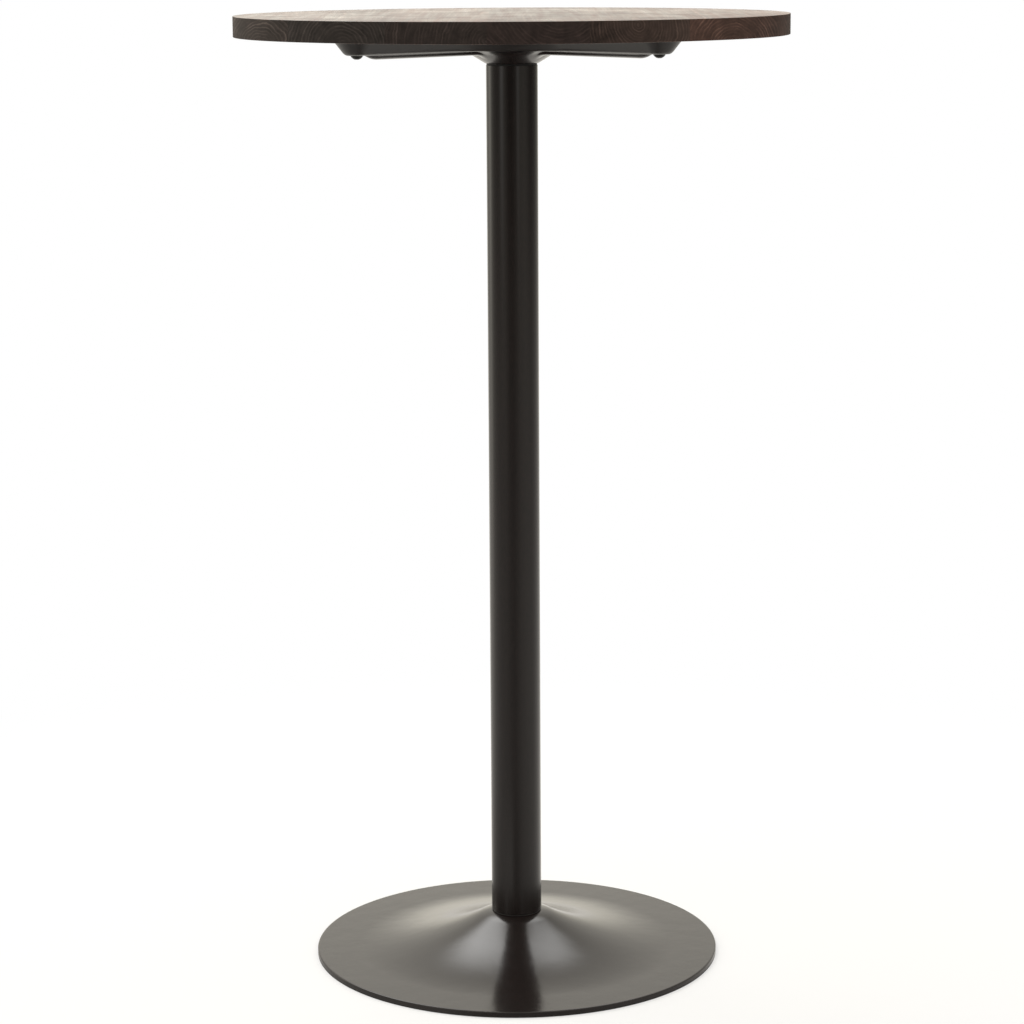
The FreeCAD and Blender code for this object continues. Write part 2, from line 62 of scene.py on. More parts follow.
class Wire:
    """An output of a shader node. Arithmetic on wires adds the Math nodes that work it out.

    Of a Mix node's sockets for colours, 6 and 7 take the two colours, and 2 gives the result.
    """

    def __init__(self, tree, socket=None):
        self.tree = tree
        self.socket = socket

    def node(self, kind, settings=None, sockets=None, output=0):
        """Adds a node: its settings first, then the values and wires of its sockets."""
        made = self.tree.nodes.new(kind)
        for name, setting in (settings or {}).items():
            if name == "stops":
                ramp = made.color_ramp
                while len(ramp.elements) < len(setting):
                    ramp.elements.new(1)
                for element, (position, shade) in zip(ramp.elements, setting):
                    element.position = position
                    element.color = shade
            else:
                setattr(made, name, setting)
        for key, given in (sockets or {}).items():
            if isinstance(given, Wire):
                self.tree.links.new(given.socket, made.inputs[key])
            else:
                made.inputs[key].default_value = given
        return Wire(self.tree, made.outputs[output] if made.outputs else None)

    def math(self, operation, *others):
        sockets = dict(enumerate((self, *others)))
        return self.node("ShaderNodeMath", {"operation": operation}, sockets)

    def __add__(self, other):
        return self.math("ADD", other)

    def __sub__(self, other):
        return self.math("SUBTRACT", other)

    def __mul__(self, other):
        return self.math("MULTIPLY", other)

    def __truediv__(self, other):
        return self.math("DIVIDE", other)

    def __rsub__(self, other):
        return self.node("ShaderNodeMath", {"operation": "SUBTRACT"}, {0: other, 1: self})

    __radd__ = __add__
    __rmul__ = __mul__

    def axes(self):
        """The X, Y and Z of this position or direction."""
        x = self.node("ShaderNodeSeparateXYZ", None, {0: self})
        return [Wire(self.tree, output) for output in x.socket.node.outputs]

    def smooth(self, low, high):
        """0 below low and 1 above high, with a soft step between."""
        return self.node("ShaderNodeMapRange", {"interpolation_type": "SMOOTHSTEP"},
                         {"Value": self, "From Min": low, "From Max": high})

    def between(self, first, second):
        """The colour that lies this far from the first to the second."""
        return self.node("ShaderNodeMix", {"data_type": "RGBA"}, {0: self, 6: first, 7: second}, 2)

    def shaded(self, shade):
        """This colour times a shade."""
        return self.node("ShaderNodeMix", {"data_type": "RGBA", "blend_type": "MULTIPLY"},
                         {0: 1.0, 6: self, 7: shade}, 2)

    def ramp(self, stops, tint=(1, 1, 1)):
        """The level here, in this tint, by stops of (position, level)."""
        colours = [(position, (*(level * share for share in tint), 1)) for position, level in stops]
        return self.node("ShaderNodeValToRGB", {"stops": colours}, {0: self})

    def noise(self, size, detail=2.0):
        """Cloudy noise over this position. size is that of its blobs in metres, or one along each axis."""
        sizes = size if isinstance(size, tuple) else (size, size, size)
        stretched = self.node("ShaderNodeVectorMath", {"operation": "DIVIDE"}, {0: self, 1: sizes})
        return self.node("ShaderNodeTexNoise", None, {"Vector": stretched, "Scale": 1.0, "Detail": detail})

    def bump(self, rise=1.0):
        """The normals of a surface with this height, where 1 is this many metres."""
        return self.node("ShaderNodeBump", None, {"Height": self, "Distance": rise})

    def principled(self, **sockets):
        """A Principled shader. In the names of its sockets, _ stands for a space."""
        named = {key.replace("_", " "): given for key, given in sockets.items()}
        return self.node("ShaderNodeBsdfPrincipled", None, named)

    def mixed(self, first, second):
        """The shader that lies this far from the first to the second."""
        return self.node("ShaderNodeMixShader", None, {0: self, 1: first, 2: second})


def pigment(red, green, blue):
    """A paint chip's 0 to 255 values as the linear colour that a shader takes."""
    chip = Color((red / 255, green / 255, blue / 255))
    return (*chip.from_srgb_to_scene_linear(), 1.0)


def new_finish(name):
    """An empty material: its place wire on Object coordinates and a function that ends it."""
    material = bpy.data.materials.new(name)
    material.use_nodes = True
    material.node_tree.nodes.clear()
    place = Wire(material.node_tree).node("ShaderNodeTexCoord", output="Object")

    def end(shader):
        """Puts the shader on the material and gives the material."""
        place.node("ShaderNodeOutputMaterial", None, {"Surface": shader})
        return material

    return place, end


def rubber():
    place, end = new_finish("floor_ring_rubber")
    dust = place.noise(0.012, detail=4.0).smooth(0.35, 0.8)
    colour = dust.between(pigment(24, 24, 24), pigment(44, 43, 41))
    return end(place.principled(Base_Color=colour, Roughness=0.72 + 0.15 * dust,
                                Normal=place.noise(0.0007).bump(0.0002)))


def turned(section, segments, closed=True):
    """The shape that a half section of (radius, height) points makes round the Z axis.

    A section that isn't closed starts and ends on the axis.
    """
    shape = bmesh.new()
    points = [shape.verts.new((radius, 0, height)) for radius, height in section]
    first = 0 if closed else 1
    edges = [shape.edges.new((points[i - 1], points[i])) for i in range(first, len(points))]
    bmesh.ops.spin(shape, geom=points + edges, cent=(0, 0, 0), axis=(0, 0, 1),
                   angle=2 * math.pi, steps=segments, use_merge=True)
    bmesh.ops.remove_doubles(shape, verts=shape.verts, dist=weld)
    bmesh.ops.recalc_face_normals(shape, faces=shape.faces)
    return shape


def new_piece(name, shape, finish, crease=35):
    """The shape as an object in this finish, smooth except across edges sharper than crease degrees."""
    mesh = bpy.data.meshes.new(name)
    shape.to_mesh(mesh)
    shape.free()
    mesh.polygons.foreach_set("use_smooth", [True] * len(mesh.polygons))
    mesh.set_sharp_from_angle(angle=math.radians(crease))
    mesh.materials.append(finish)
    piece = bpy.data.objects.new(name, mesh)
    bpy.context.collection.objects.link(piece)
    return piece


ring = new_piece("floor_ring_rubber", turned([
    (base_radius - ring_width, ring_low.z), (base_radius, ring_low.z),
    (base_radius, ring_high.z), (base_radius - ring_width, ring_high.z),
], base_segments), rubber())
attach(ring, "root")
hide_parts("floor_ring")


# ---- Base cover -------------------------------------------------------------------------------
# Sheet steel spun over a former: a flat neck under the column, a crown round it, a trumpet that
# flattens out to a wide disc, and a short lip down at the rim. It has the same satin black-brown
# paint as the column and the spider.

cover_low, cover_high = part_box("base_cover")
cover_sheet = 0.0015
column_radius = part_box("column_tube")[1].x
rod_hole_radius = 0.0055
rim_height = 0.0063
rim_rounding = 0.0012
rim_slope = math.radians(0.3)
shoulder_slope = math.radians(27.5)
neck_slope = math.radians(10)
crown_radius = 0.050
crown_steps, flare_steps, rim_steps = 16, 64, 5


def dark_paint(name, roughness, ripple, wave, overspray=None):
    """Satin black-brown paint over steel, with orange peel and broader waves of these heights in metres.

    overspray is (low, high, extra): between these heights the paint gets this much rougher.
    """
    place, end = new_finish(name)
    cloud = place.noise(0.022, detail=4.0)
    specks = place.noise(0.004, detail=4.0).smooth(0.3, 0.7)
    colour = specks.between(pigment(20, 15, 14), pigment(26, 19, 18))
    rough = roughness + 0.07 * (cloud - 0.5)
    if overspray:
        low, high, extra = overspray
        height = place.axes()[2]
        rough = rough + height.smooth(low, high) * extra
    relief = (place.noise(0.0022) * ripple + cloud * wave).bump()
    return end(place.principled(Base_Color=colour, Roughness=rough, IOR=1.5, Normal=relief))


def bow(start, end, radius, steps):
    """The points of an arc after its start, up to and with its end, turning left if radius > 0."""
    start, end = Vector(start), Vector(end)
    chord = end - start
    left = Vector((-chord.y, chord.x)).normalized()
    to_centre = math.sqrt(radius ** 2 - chord.length_squared / 4)
    centre = (start + end) / 2 + left * math.copysign(to_centre, radius)
    turn = math.copysign(2 * math.asin(chord.length / 2 / abs(radius)), radius)
    return [tuple(centre + Matrix.Rotation(turn * step / steps, 2) @ (start - centre))
            for step in range(1, steps + 1)]


def trumpet(gap):
    """The line of the trumpet, a gap inside its skin, from the column's edge out to the rim.

    It is a crown that bows outwards, a flare that bows inwards from it, and a nearly flat cone.
    """
    shoulder = Vector((column_radius + crown_radius * (math.sin(shoulder_slope) - math.sin(neck_slope)),
                       cover_high.z - crown_radius * (math.cos(neck_slope) - math.cos(shoulder_slope))))
    run = base_radius - shoulder.x
    drop = shoulder.y - rim_height
    flare_radius = (drop - run * math.tan(rim_slope)) / (
        math.cos(rim_slope) - math.cos(shoulder_slope)
        - (math.sin(shoulder_slope) - math.sin(rim_slope)) * math.tan(rim_slope))
    flare = shoulder + Vector((flare_radius * (math.sin(shoulder_slope) - math.sin(rim_slope)),
                               -flare_radius * (math.cos(rim_slope) - math.cos(shoulder_slope))))

    def inside(point, slope):
        return point[0] - gap * math.sin(slope), point[1] - gap * math.cos(slope)

    neck = inside((column_radius, cover_high.z), neck_slope)
    crown_end = inside(shoulder, shoulder_slope)
    return [neck, *bow(neck, crown_end, -(crown_radius - gap), crown_steps),
            *bow(crown_end, inside(flare, rim_slope), flare_radius + gap, flare_steps)]


lip = base_radius - cover_sheet
outer_line = trumpet(0)
inner_line = [point for point in trumpet(cover_sheet) if point[1] < cover_high.z - cover_sheet]
rim_inside = rim_height - cover_sheet
cover = new_piece("base_cover_painted", turned([
    (rod_hole_radius, cover_high.z), *outer_line,
    (base_radius - 2 * rim_rounding, rim_height + rim_rounding * math.tan(rim_slope)),
    (base_radius - rim_rounding, rim_height),
    *bow((base_radius - rim_rounding, rim_height), (base_radius, rim_height - rim_rounding),
         -rim_rounding, rim_steps),
    (base_radius, cover_low.z), (lip, cover_low.z), (lip, rim_inside),
    *reversed(inner_line), (inner_line[0][0] - cover_sheet, cover_high.z - cover_sheet),
    (rod_hole_radius, cover_high.z - cover_sheet),
], base_segments), dark_paint("base_paint", roughness=0.16, ripple=0.000002, wave=0.00017))
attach(cover, "root")
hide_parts("base_cover")


# ---- Base weight ------------------------------------------------------------------------------
# A grey iron casting that fills the cover and keeps the table upright. Its underside is left as
# it came from the sand, with a round recess for the lower nut.


def sand_cast_iron():
    place, end = new_finish("weight_cast_iron")
    sand = place.noise(0.0016, detail=4.0)
    rust = place.noise(0.03, detail=6.0).smooth(0.56, 0.72)
    colour = rust.between(pigment(82, 80, 78), pigment(104, 78, 60))
    return end(place.principled(Base_Color=colour, Metallic=0.75 - 0.6 * rust,
                                Roughness=0.55 + 0.3 * rust, Normal=sand.bump(0.0006)))


nodes["base_weight"].material_slots[0].material = sand_cast_iron()


# ---- Tie rod and its fasteners ----------------------------------------------------------------
# A threaded steel rod up the middle of the column. A nut, a spring washer and a wide plate washer
# at each end pull the base, the column and the spider together. All are bright zinc plated, as are
# the threaded inserts in the wood and the spacers inside the arms.


def zinc_plate():
    place, end = new_finish("zinc_plate")
    cloud = place.noise(0.006, detail=4.0)
    colour = cloud.between(pigment(158, 160, 160), pigment(196, 194, 184))
    return end(place.principled(Base_Color=colour, Metallic=1.0, Roughness=0.26 + 0.2 * cloud,
                                Normal=place.noise(0.0009).bump(0.00005)))


zinc = zinc_plate()
for name in ("tie_rod", "upper_washer", "upper_spring_washer", "upper_nut", "lower_washer",
             "lower_spring_washer", "lower_nut", "threaded_inserts", "arm_spacers"):
    nodes[name].material_slots[0].material = zinc


# ---- Column plugs -----------------------------------------------------------------------------
# A black moulded plug centres each end of the tube. Its thin flange, a little inside the tube's
# skin, shows as a dark line at the top and the foot of the column.


def moulded_black():
    place, end = new_finish("plug_moulding")
    colour = place.noise(0.004).between(pigment(20, 20, 20), pigment(28, 28, 28))
    return end(place.principled(Base_Color=colour, Roughness=0.5,
                                Normal=place.noise(0.0006).bump(0.00008)))


plug_black = moulded_black()
for name in ("column_top_plug", "column_foot_plug"):
    nodes[name].material_slots[0].material = plug_black


# ---- Column tube ------------------------------------------------------------------------------
# Round steel tube, sawn square with its ends lightly deburred, sprayed inside a rotating jig so
# that the paint is even all round.

tube_low, tube_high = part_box("column_tube")
tube_wall = 0.002
tube_bevel = 0.0004
tube_bore = column_radius - tube_wall
tube_segments = 160

tube = new_piece("column_tube_painted", turned([
    (tube_bore, tube_low.z), (column_radius - tube_bevel, tube_low.z),
    (column_radius, tube_low.z + tube_bevel), (column_radius, tube_high.z - tube_bevel),
    (column_radius - tube_bevel, tube_high.z), (tube_bore, tube_high.z),
], tube_segments), dark_paint("column_paint", roughness=0.19, ripple=0.000002, wave=0.000010))
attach(tube, "root")
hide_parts("column_tube")


# ---- Top spider -------------------------------------------------------------------------------
# Pressed from one steel sheet: four channel arms, open side up, run out from a round hub, a bead
# stiffens the floor of each arm, and a funnel in the middle comes down to the column.

wood_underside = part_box("top_board_1")[0].z
spider_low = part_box("top_spider")[0]
spider_turn = math.radians(45 - 1.5)
spider_sheet = 0.0025
screw_circle = 0.224
screw_hole_radius = 0.0035
arm_half_width = 0.025
arm_depth = 0.016
wall_draft = math.radians(38)
lip_reach = 0.0022  # how far the flared lip runs out past the arm's edge
lip_slope = 0.5
hub_radius = 0.072
web_radius = 0.025
funnel_mouth = 0.054
funnel_depth = wood_underside - spider_low.z
bead_radius = 0.0075
bead_drop = 0.005
bead_reach = 0.196
bead_nose = 0.031
bead_flank = 0.79  # the share of the bead's radius past which its side runs on straight
floor_rounding = 0.0036
bead_rounding = 0.0022
funnel_rounding = 0.0060
sharp_rounding = 0.0012
grid_step = 0.0008  # across the arm
grid_half_width = 0.056
grid_stations = ((0, 0.0), (70, 0.084), (98, 0.186), (168, 0.253))  # steps out from the axis, and how far
grid_weld = 2e-5
trim_height = 0.004  # above the wood's underside, where the rough edge of the sheet is first trimmed
hole_segments = 48
dry_floor = wood_underside - 0.0200  # where overspray starts to dull the paint, going up
dry_wall = wood_underside - 0.0155  # where it has dulled it fully
dryness = 0.12


def lesser(first, second, reach):
    """The smaller of two lengths, with the corner between them rounded over this reach."""
    overlap = max(reach - abs(first - second), 0) / reach
    return min(first, second) - overlap * overlap * reach / 4


def greater(first, second, reach):
    """The larger of two lengths, rounded likewise."""
    return -lesser(-first, -second, reach)


def pressed_depth(x, y):
    """How far below the wood the pressing's skin lies, on the arm that runs out along X."""
    radius = math.hypot(x, y)
    in_hub = hub_radius - radius
    in_arm = arm_half_width - math.hypot(max(x - screw_circle, 0), y)
    inside = (math.hypot(max(web_radius + in_hub, 0), max(web_radius + in_arm, 0))
              - max(web_radius, min(-in_hub, -in_arm)))
    wall = greater(inside / math.tan(wall_draft), (inside + lip_reach) * lip_slope, sharp_rounding)
    channel = lesser(wall, arm_depth, floor_rounding)
    swell = math.sqrt(max(bead_nose ** 2 - max(x - bead_reach, 0) ** 2, 0)) - (bead_nose - bead_radius)
    flank = bead_flank * max(swell, 0)
    bead = arm_depth + bead_drop - bead_radius + min(swell, 0)
    bead += math.sqrt(max(swell, 0) ** 2 - min(abs(y), flank) ** 2)
    bead -= max(abs(y) - flank, 0) * bead_flank / math.sqrt(1 - bead_flank ** 2)
    fall = (funnel_depth - arm_depth) / (funnel_mouth - column_radius)
    funnel = lesser(arm_depth + (funnel_mouth - radius) * fall, funnel_depth, sharp_rounding)
    return greater(greater(channel, bead, bead_rounding), funnel, funnel_rounding)


def out_along_arm(step):
    """How far from the axis this step of the sheet's grid lies. Steps are short where the sheet bends."""
    for (first, start), (last, end) in zip(grid_stations, grid_stations[1:]):
        if step <= last:
            return start + (end - start) * (step - first) / (last - first)


def cut_off(shape, place, facing):
    """Takes off what lies beyond the plane through this place that faces this way.

    It gives the edges of the cut.
    """
    cut = bmesh.ops.bisect_plane(shape, geom=shape.verts[:] + shape.edges[:] + shape.faces[:],
                                 plane_co=place, plane_no=facing, clear_outer=True)
    return [item for item in cut["geom_cut"] if isinstance(item, bmesh.types.BMEdge)]


def make_spider():
    """One arm's quarter of the sheet, pressed from a flat grid, repeated round the hub and thickened."""
    steps = grid_stations[-1][0]
    rows = round(2 * grid_half_width / grid_step)
    half = 0.5  # of the grid as it is made, which is 1 across
    shape = bmesh.new()
    bmesh.ops.create_grid(shape, x_segments=steps, y_segments=rows, size=half)
    bmesh.ops.scale(shape, vec=(1, 2 * grid_half_width, 1), verts=shape.verts)
    for vert in shape.verts:
        vert.co.x = out_along_arm(round((vert.co.x + half) * steps))
        vert.co.z = -pressed_depth(vert.co.x, vert.co.y)
    for side in (1, -1):
        cut_off(shape, (0, 0, 0), (-1, side, 0))
    cut_off(shape, (0, 0, trim_height), (0, 0, 1))
    quarter = shape.verts[:] + shape.edges[:] + shape.faces[:]
    for quarter_turn in range(1, 4):
        copied = bmesh.ops.duplicate(shape, geom=quarter)["geom"]
        bmesh.ops.rotate(shape, cent=(0, 0, 0), matrix=Matrix.Rotation(quarter_turn * math.pi / 2, 3, "Z"),
                         verts=[item for item in copied if isinstance(item, bmesh.types.BMVert)])
    bmesh.ops.remove_doubles(shape, verts=shape.verts, dist=grid_weld)
    bmesh.ops.recalc_face_normals(shape, faces=shape.faces)
    if shape.faces[0].normal.z > 0:
        bmesh.ops.reverse_faces(shape, faces=shape.faces)
    bmesh.ops.solidify(shape, geom=shape.faces, thickness=spider_sheet)
    bmesh.ops.recalc_face_normals(shape, faces=shape.faces)
    bmesh.ops.bridge_loops(shape, edges=cut_off(shape, (0, 0, 0), (0, 0, 1)))
    bmesh.ops.rotate(shape, cent=(0, 0, 0), matrix=Matrix.Rotation(spider_turn, 3, "Z"), verts=shape.verts)
    bmesh.ops.translate(shape, vec=(0, 0, wood_underside), verts=shape.verts)
    return shape


def arm_hole_cutters(radius, low, high):
    """Upright cylinders to cut a hole with at the end of each arm."""
    cutters = bmesh.new()
    for arm in range(4):
        turned_out = Matrix.Rotation(spider_turn + arm * math.pi / 2, 4, "Z")
        at_screw = turned_out @ Matrix.Translation((screw_circle, 0, (low + high) / 2))
        bmesh.ops.create_cone(cutters, cap_ends=True, segments=hole_segments,
                              radius1=radius, radius2=radius, depth=high - low, matrix=at_screw)
    return cutters


def make_spider_cutters():
    """Cutters for the four screw holes, and for the rod's hole through the floor of the funnel."""
    cutters = arm_hole_cutters(screw_hole_radius, spider_low.z, wood_underside - arm_depth / 2)
    bmesh.ops.create_cone(cutters, cap_ends=True, segments=hole_segments,
                          radius1=rod_hole_radius, radius2=rod_hole_radius, depth=4 * spider_sheet,
                          matrix=Matrix.Translation((0, 0, spider_low.z)))
    return cutters


def hollow_out(piece, cutter_shape):
    """Takes the cutter's shape out of a piece, and the cutter away."""
    cutter = new_piece("cutter", cutter_shape, piece.data.materials[0])
    cut = piece.modifiers.new("cut", "BOOLEAN")
    cut.operation = "DIFFERENCE"
    cut.solver = "EXACT"
    cut.object = cutter
    seen = piece.evaluated_get(bpy.context.evaluated_depsgraph_get())
    result = bpy.data.meshes.new_from_object(seen)
    piece.modifiers.clear()
    piece.data = result
    bpy.data.objects.remove(cutter)


spider = new_piece("top_spider_painted", make_spider(), dark_paint(
    "spider_paint", roughness=0.20, ripple=0.0000003, wave=0.000004,
    overspray=(dry_floor, dry_wall, dryness)), crease=60)
hollow_out(spider, make_spider_cutters())
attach(spider, "root")
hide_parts("top_spider")


# ---- Arm screws -------------------------------------------------------------------------------
# Dome-headed machine screws with a hexagon socket, blackened, one up through the end of each arm.

screws_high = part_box("arm_screws")[1]
screw_head_radius = 0.00675
screw_head_height = 0.0044
screw_shank_radius = 0.003
screw_segments = 48
dome_steps = 12
socket_across_flats = 0.004
socket_depth = 0.0022


def black_oxide():
    place, end = new_finish("screw_black_oxide")
    cloud = place.noise(0.002, detail=3.0)
    colour = cloud.between(pigment(16, 16, 17), pigment(34, 33, 33))
    return end(place.principled(Base_Color=colour, Metallic=0.6, Roughness=0.3 + 0.15 * cloud,
                                Normal=place.noise(0.0004).bump(0.00004)))


def make_screw():
    """One screw that stands on the origin's plane with its shank up and its head hanging down."""
    dome = (screw_head_radius ** 2 + screw_head_height ** 2) / (2 * screw_head_height)
    shank_length = screws_high.z - (wood_underside - arm_depth)
    return turned([
        (0, -screw_head_height),
        *bow((0, -screw_head_height), (screw_head_radius, 0), dome, dome_steps),
        (screw_shank_radius, 0), (screw_shank_radius, shank_length), (0, shank_length),
    ], screw_segments, closed=False)


def make_socket_cutter():
    """A hexagonal prism that reaches the socket's depth up into the head."""
    corner_radius = socket_across_flats / 2 / math.cos(math.pi / 6)
    cutter = bmesh.new()
    bmesh.ops.create_cone(cutter, cap_ends=True, segments=6, radius1=corner_radius, radius2=corner_radius,
                          depth=2 * socket_depth)
    bmesh.ops.translate(cutter, vec=(0, 0, -screw_head_height), verts=cutter.verts)
    return cutter


pattern = new_piece("screw_pattern", make_screw(), black_oxide())
hollow_out(pattern, make_socket_cutter())
group = bmesh.new()
for arm in range(4):
    before = set(group.verts)
    group.from_mesh(pattern.data)
    added = [vert for vert in group.verts if vert not in before]
    bmesh.ops.translate(group, vec=(screw_circle, 0, wood_underside - arm_depth), verts=added)
    bmesh.ops.rotate(group, cent=(0, 0, 0), verts=added,
                     matrix=Matrix.Rotation(spider_turn + arm * math.pi / 2, 3, "Z"))
screws = new_piece("arm_screws_black", group, pattern.data.materials[0])
bpy.data.objects.remove(pattern)
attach(screws, "root")
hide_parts("arm_screws")


# ---- Top boards -------------------------------------------------------------------------------
# Six solid boards, glued edge to edge with their grain front to back, sawn to a disc and eased
# round both arrises. They are stained dark brown and finished with a satin lacquer. Each board
# has its own growth rings, which run along Y round a pith that differs from board to board.

top_low, top_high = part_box("top_board_4")
top_radius = top_high.y
top_easing = 0.0005
joints = (-0.231, -0.128, -0.025, 0.078, 0.181)
insert_radius = 0.00475
insert_depth = 0.015
boards_with_inserts = (2, 5)
disc_segments = 360
easing_segments = 4
arris_angle = math.radians(45)  # the disc's straight sides meet each other at far less


def stained_wood(name, pith, spacing, drift, contrast, painted_rim_shade, rim, face):
    """Dark stained softwood. The pith is a (x, z) place, and drift is how far it rises per metre of Y.

    The rim has taken up more stain than the faces and is darker. The growth rings stand out
    lighter there, by this contrast. A painted shade also makes the rim lighter by this share per
    metre of X from the pith, and darker where the share is negative, for how the light falls round the
    curved rim.
    """
    place, end = new_finish(name)
    x, y, z = place.axes()

    def along_grain(thick, long, detail=2.0):
        """Noise about zero, in blobs this thick across the grain and this long along it."""
        return place.noise((thick, long, thick), detail) - 0.5

    wander = along_grain(0.11, 0.7) * 0.030
    waver = along_grain(0.012, 0.16, detail=4.0) * 0.0050
    ragged = along_grain(0.0025, 0.05, detail=3.0) * 0.0016
    across = x - pith[0] + wander * 0.5
    up = z - pith[1] + y * drift + wander
    distance = (across * across + up * up).math("SQRT") + waver + ragged
    uneven = 1.2  # rings
    rings = distance / spacing + place.noise(0.03) * uneven
    latewood = rings.math("FRACT").ramp([
        (0.0, 0.25), (0.12, 0), (0.45, 0.10), (0.72, 0.60), (0.86, 1), (1.0, 0.25)])
    good_years = rings.node("ShaderNodeTexNoise", {"noise_dimensions": "1D"}, {"W": rings, "Scale": 0.55})
    latewood = latewood * good_years.smooth(0.25, 0.72)
    patch = place.noise((0.022, 0.3, 0.022), detail=3.0).smooth(0.30, 0.68)
    fibre = along_grain(0.0007, 0.045, detail=3.0)
    streak = along_grain(0.008, 0.22, detail=4.0)
    cloud = along_grain(0.050, 0.060, detail=6.0)

    upright = place.node("ShaderNodeNewGeometry", output="Normal").axes()[2]
    flat = (upright * upright).smooth(0.2, 0.8)
    # painted shade: the rim turns lighter or darker along X, for how the light falls round the curved rim
    on_rim = latewood * patch * contrast + (x - pith[0]) * painted_rim_shade
    on_face = (latewood - 0.3) * patch - 0.8 * cloud
    grain = on_rim * (1 - flat) + on_face * flat
    darkest = 0.15
    shade = (0.88 + grain + 0.45 * fibre + 1.1 * streak).math("MAXIMUM", darkest)
    colour = flat.between(pigment(*rim), pigment(*face)).shaded(shade)
    relief = (latewood * 0.4 + fibre * 0.6).bump(0.00005)
    shine = 0.355 - 0.04 * latewood + 0.06 * fibre + 0.34 * cloud + 0.26 * streak
    sawn = place.principled(Base_Color=colour, Roughness=0.62, Specular_IOR_Level=0.12, Normal=relief)
    lacquered = place.principled(Base_Color=colour, Roughness=shine, Specular_IOR_Level=0.5, Normal=relief)
    return end(flat.mixed(sawn, lacquered))


def make_board(left, right):
    """The slice of the eased disc between two glue joints."""
    shape = bmesh.new()
    bmesh.ops.create_cone(shape, cap_ends=True, segments=disc_segments,
                          radius1=top_radius, radius2=top_radius, depth=top_high.z - top_low.z)
    bmesh.ops.translate(shape, vec=(0, 0, (top_high.z + top_low.z) / 2), verts=shape.verts)
    arrises = [edge for edge in shape.edges if edge.calc_face_angle() > arris_angle]
    bmesh.ops.bevel(shape, geom=arrises, affect="EDGES", offset=top_easing, segments=easing_segments,
                    profile=0.5, material=-1)
    for joint, facing in ((left, -1), (right, 1)):
        if abs(joint) < top_radius:
            bmesh.ops.contextual_create(shape, geom=cut_off(shape, (joint, 0, 0), (facing, 0, 0)))
    bmesh.ops.recalc_face_normals(shape, faces=shape.faces)
    return shape


# The rim shade along X given for each board is painted shade, for how the light falls round the curved rim.
board_woods = (
    stained_wood("board_1_wood", pith=(-0.262, 1.040), spacing=0.0034, drift=0.03, contrast=2.560,
                 painted_rim_shade=-6.0, rim=(55, 48, 45), face=(101, 76, 64)),
    stained_wood("board_2_wood", pith=(-0.173, 1.043), spacing=0.0034, drift=-0.02, contrast=1.664,
                 painted_rim_shade=0.0, rim=(46, 41, 39), face=(93, 68, 58)),
    stained_wood("board_3_wood", pith=(-0.026, 1.043), spacing=0.0033, drift=0.02, contrast=1.280,
                 painted_rim_shade=0.0, rim=(46, 39, 37), face=(99, 71, 60)),
    stained_wood("board_4_wood", pith=(0.048, 1.105), spacing=0.0035, drift=-0.03, contrast=1.088,
                 painted_rim_shade=0.0, rim=(47, 38, 36), face=(88, 62, 52)),
    stained_wood("board_5_wood", pith=(0.126, 1.0575), spacing=0.0031, drift=0.02, contrast=1.600,
                 painted_rim_shade=5.5, rim=(56, 45, 41), face=(97, 70, 58)),
    stained_wood("board_6_wood", pith=(0.228, 1.030), spacing=0.0034, drift=0.03, contrast=1.792,
                 painted_rim_shade=-3.0, rim=(71, 53, 47), face=(104, 73, 60)),
)
sides = (-top_radius, *joints, top_radius)
for number, wood in enumerate(board_woods, start=1):
    board = new_piece(f"top_board_{number}_stained", make_board(sides[number - 1], sides[number]), wood)
    if number in boards_with_inserts:
        hollow_out(board, arm_hole_cutters(
            insert_radius, wood_underside - insert_depth, wood_underside + insert_depth))
    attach(board, "root")
    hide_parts(f"top_board_{number}")


# ---- Studio -----------------------------------------------------------------------------------
# A white sweep under and behind the table, bright straight behind it, with a brighter strip at the
# left and a dim right side. Two large soft boxes hang above and behind, and a weak panel stands at
# each side of the camera. The floor has a hole under the base, a little smaller than the base.

white = (1, 1, 1, 1)
floor_gap = 0.0002
floor_radius = 30.0
floor_overlap = 0.001
soft_edge = 0.40  # the share of a soft box's side over which its light fades out
panel_height = 1.35
base_middle = (0, 0, 0.04)
camera_tilt = 0.1749
camera_roll = 0.0059


def around(x, y, tint, levels):
    """What the studio looks like from its middle, in this tint, all round.

    levels are (degrees, level), where degrees run right from straight behind the table.
    """
    angle = x.math("ARCTAN2", y) / (2 * math.pi) + 0.5
    return angle.ramp([(degrees / 360 + 0.5, level) for degrees, level in levels], tint)


def far_walls(x, y):
    return around(x, y, (1.05, 1.0, 0.87), [
        (-180, 0.05), (-163, 0.05), (-152, 0.24), (-145, 0.40), (-122, 0.28), (-108, 0.20), (-92, 0.28),
        (-76, 0.66), (-62, 1.75), (-50, 0.80), (-36, 0.30), (-24, 0.74), (-10, 1.14), (5, 1.12), (14, 0.90),
        (24, 0.60), (40, 0.32), (60, 0.15), (80, 0.06), (95, 0.06), (107, 0.24), (125, 0.42), (148, 0.36),
        (163, 0.16), (170, 0.14), (180, 0.05),
    ])


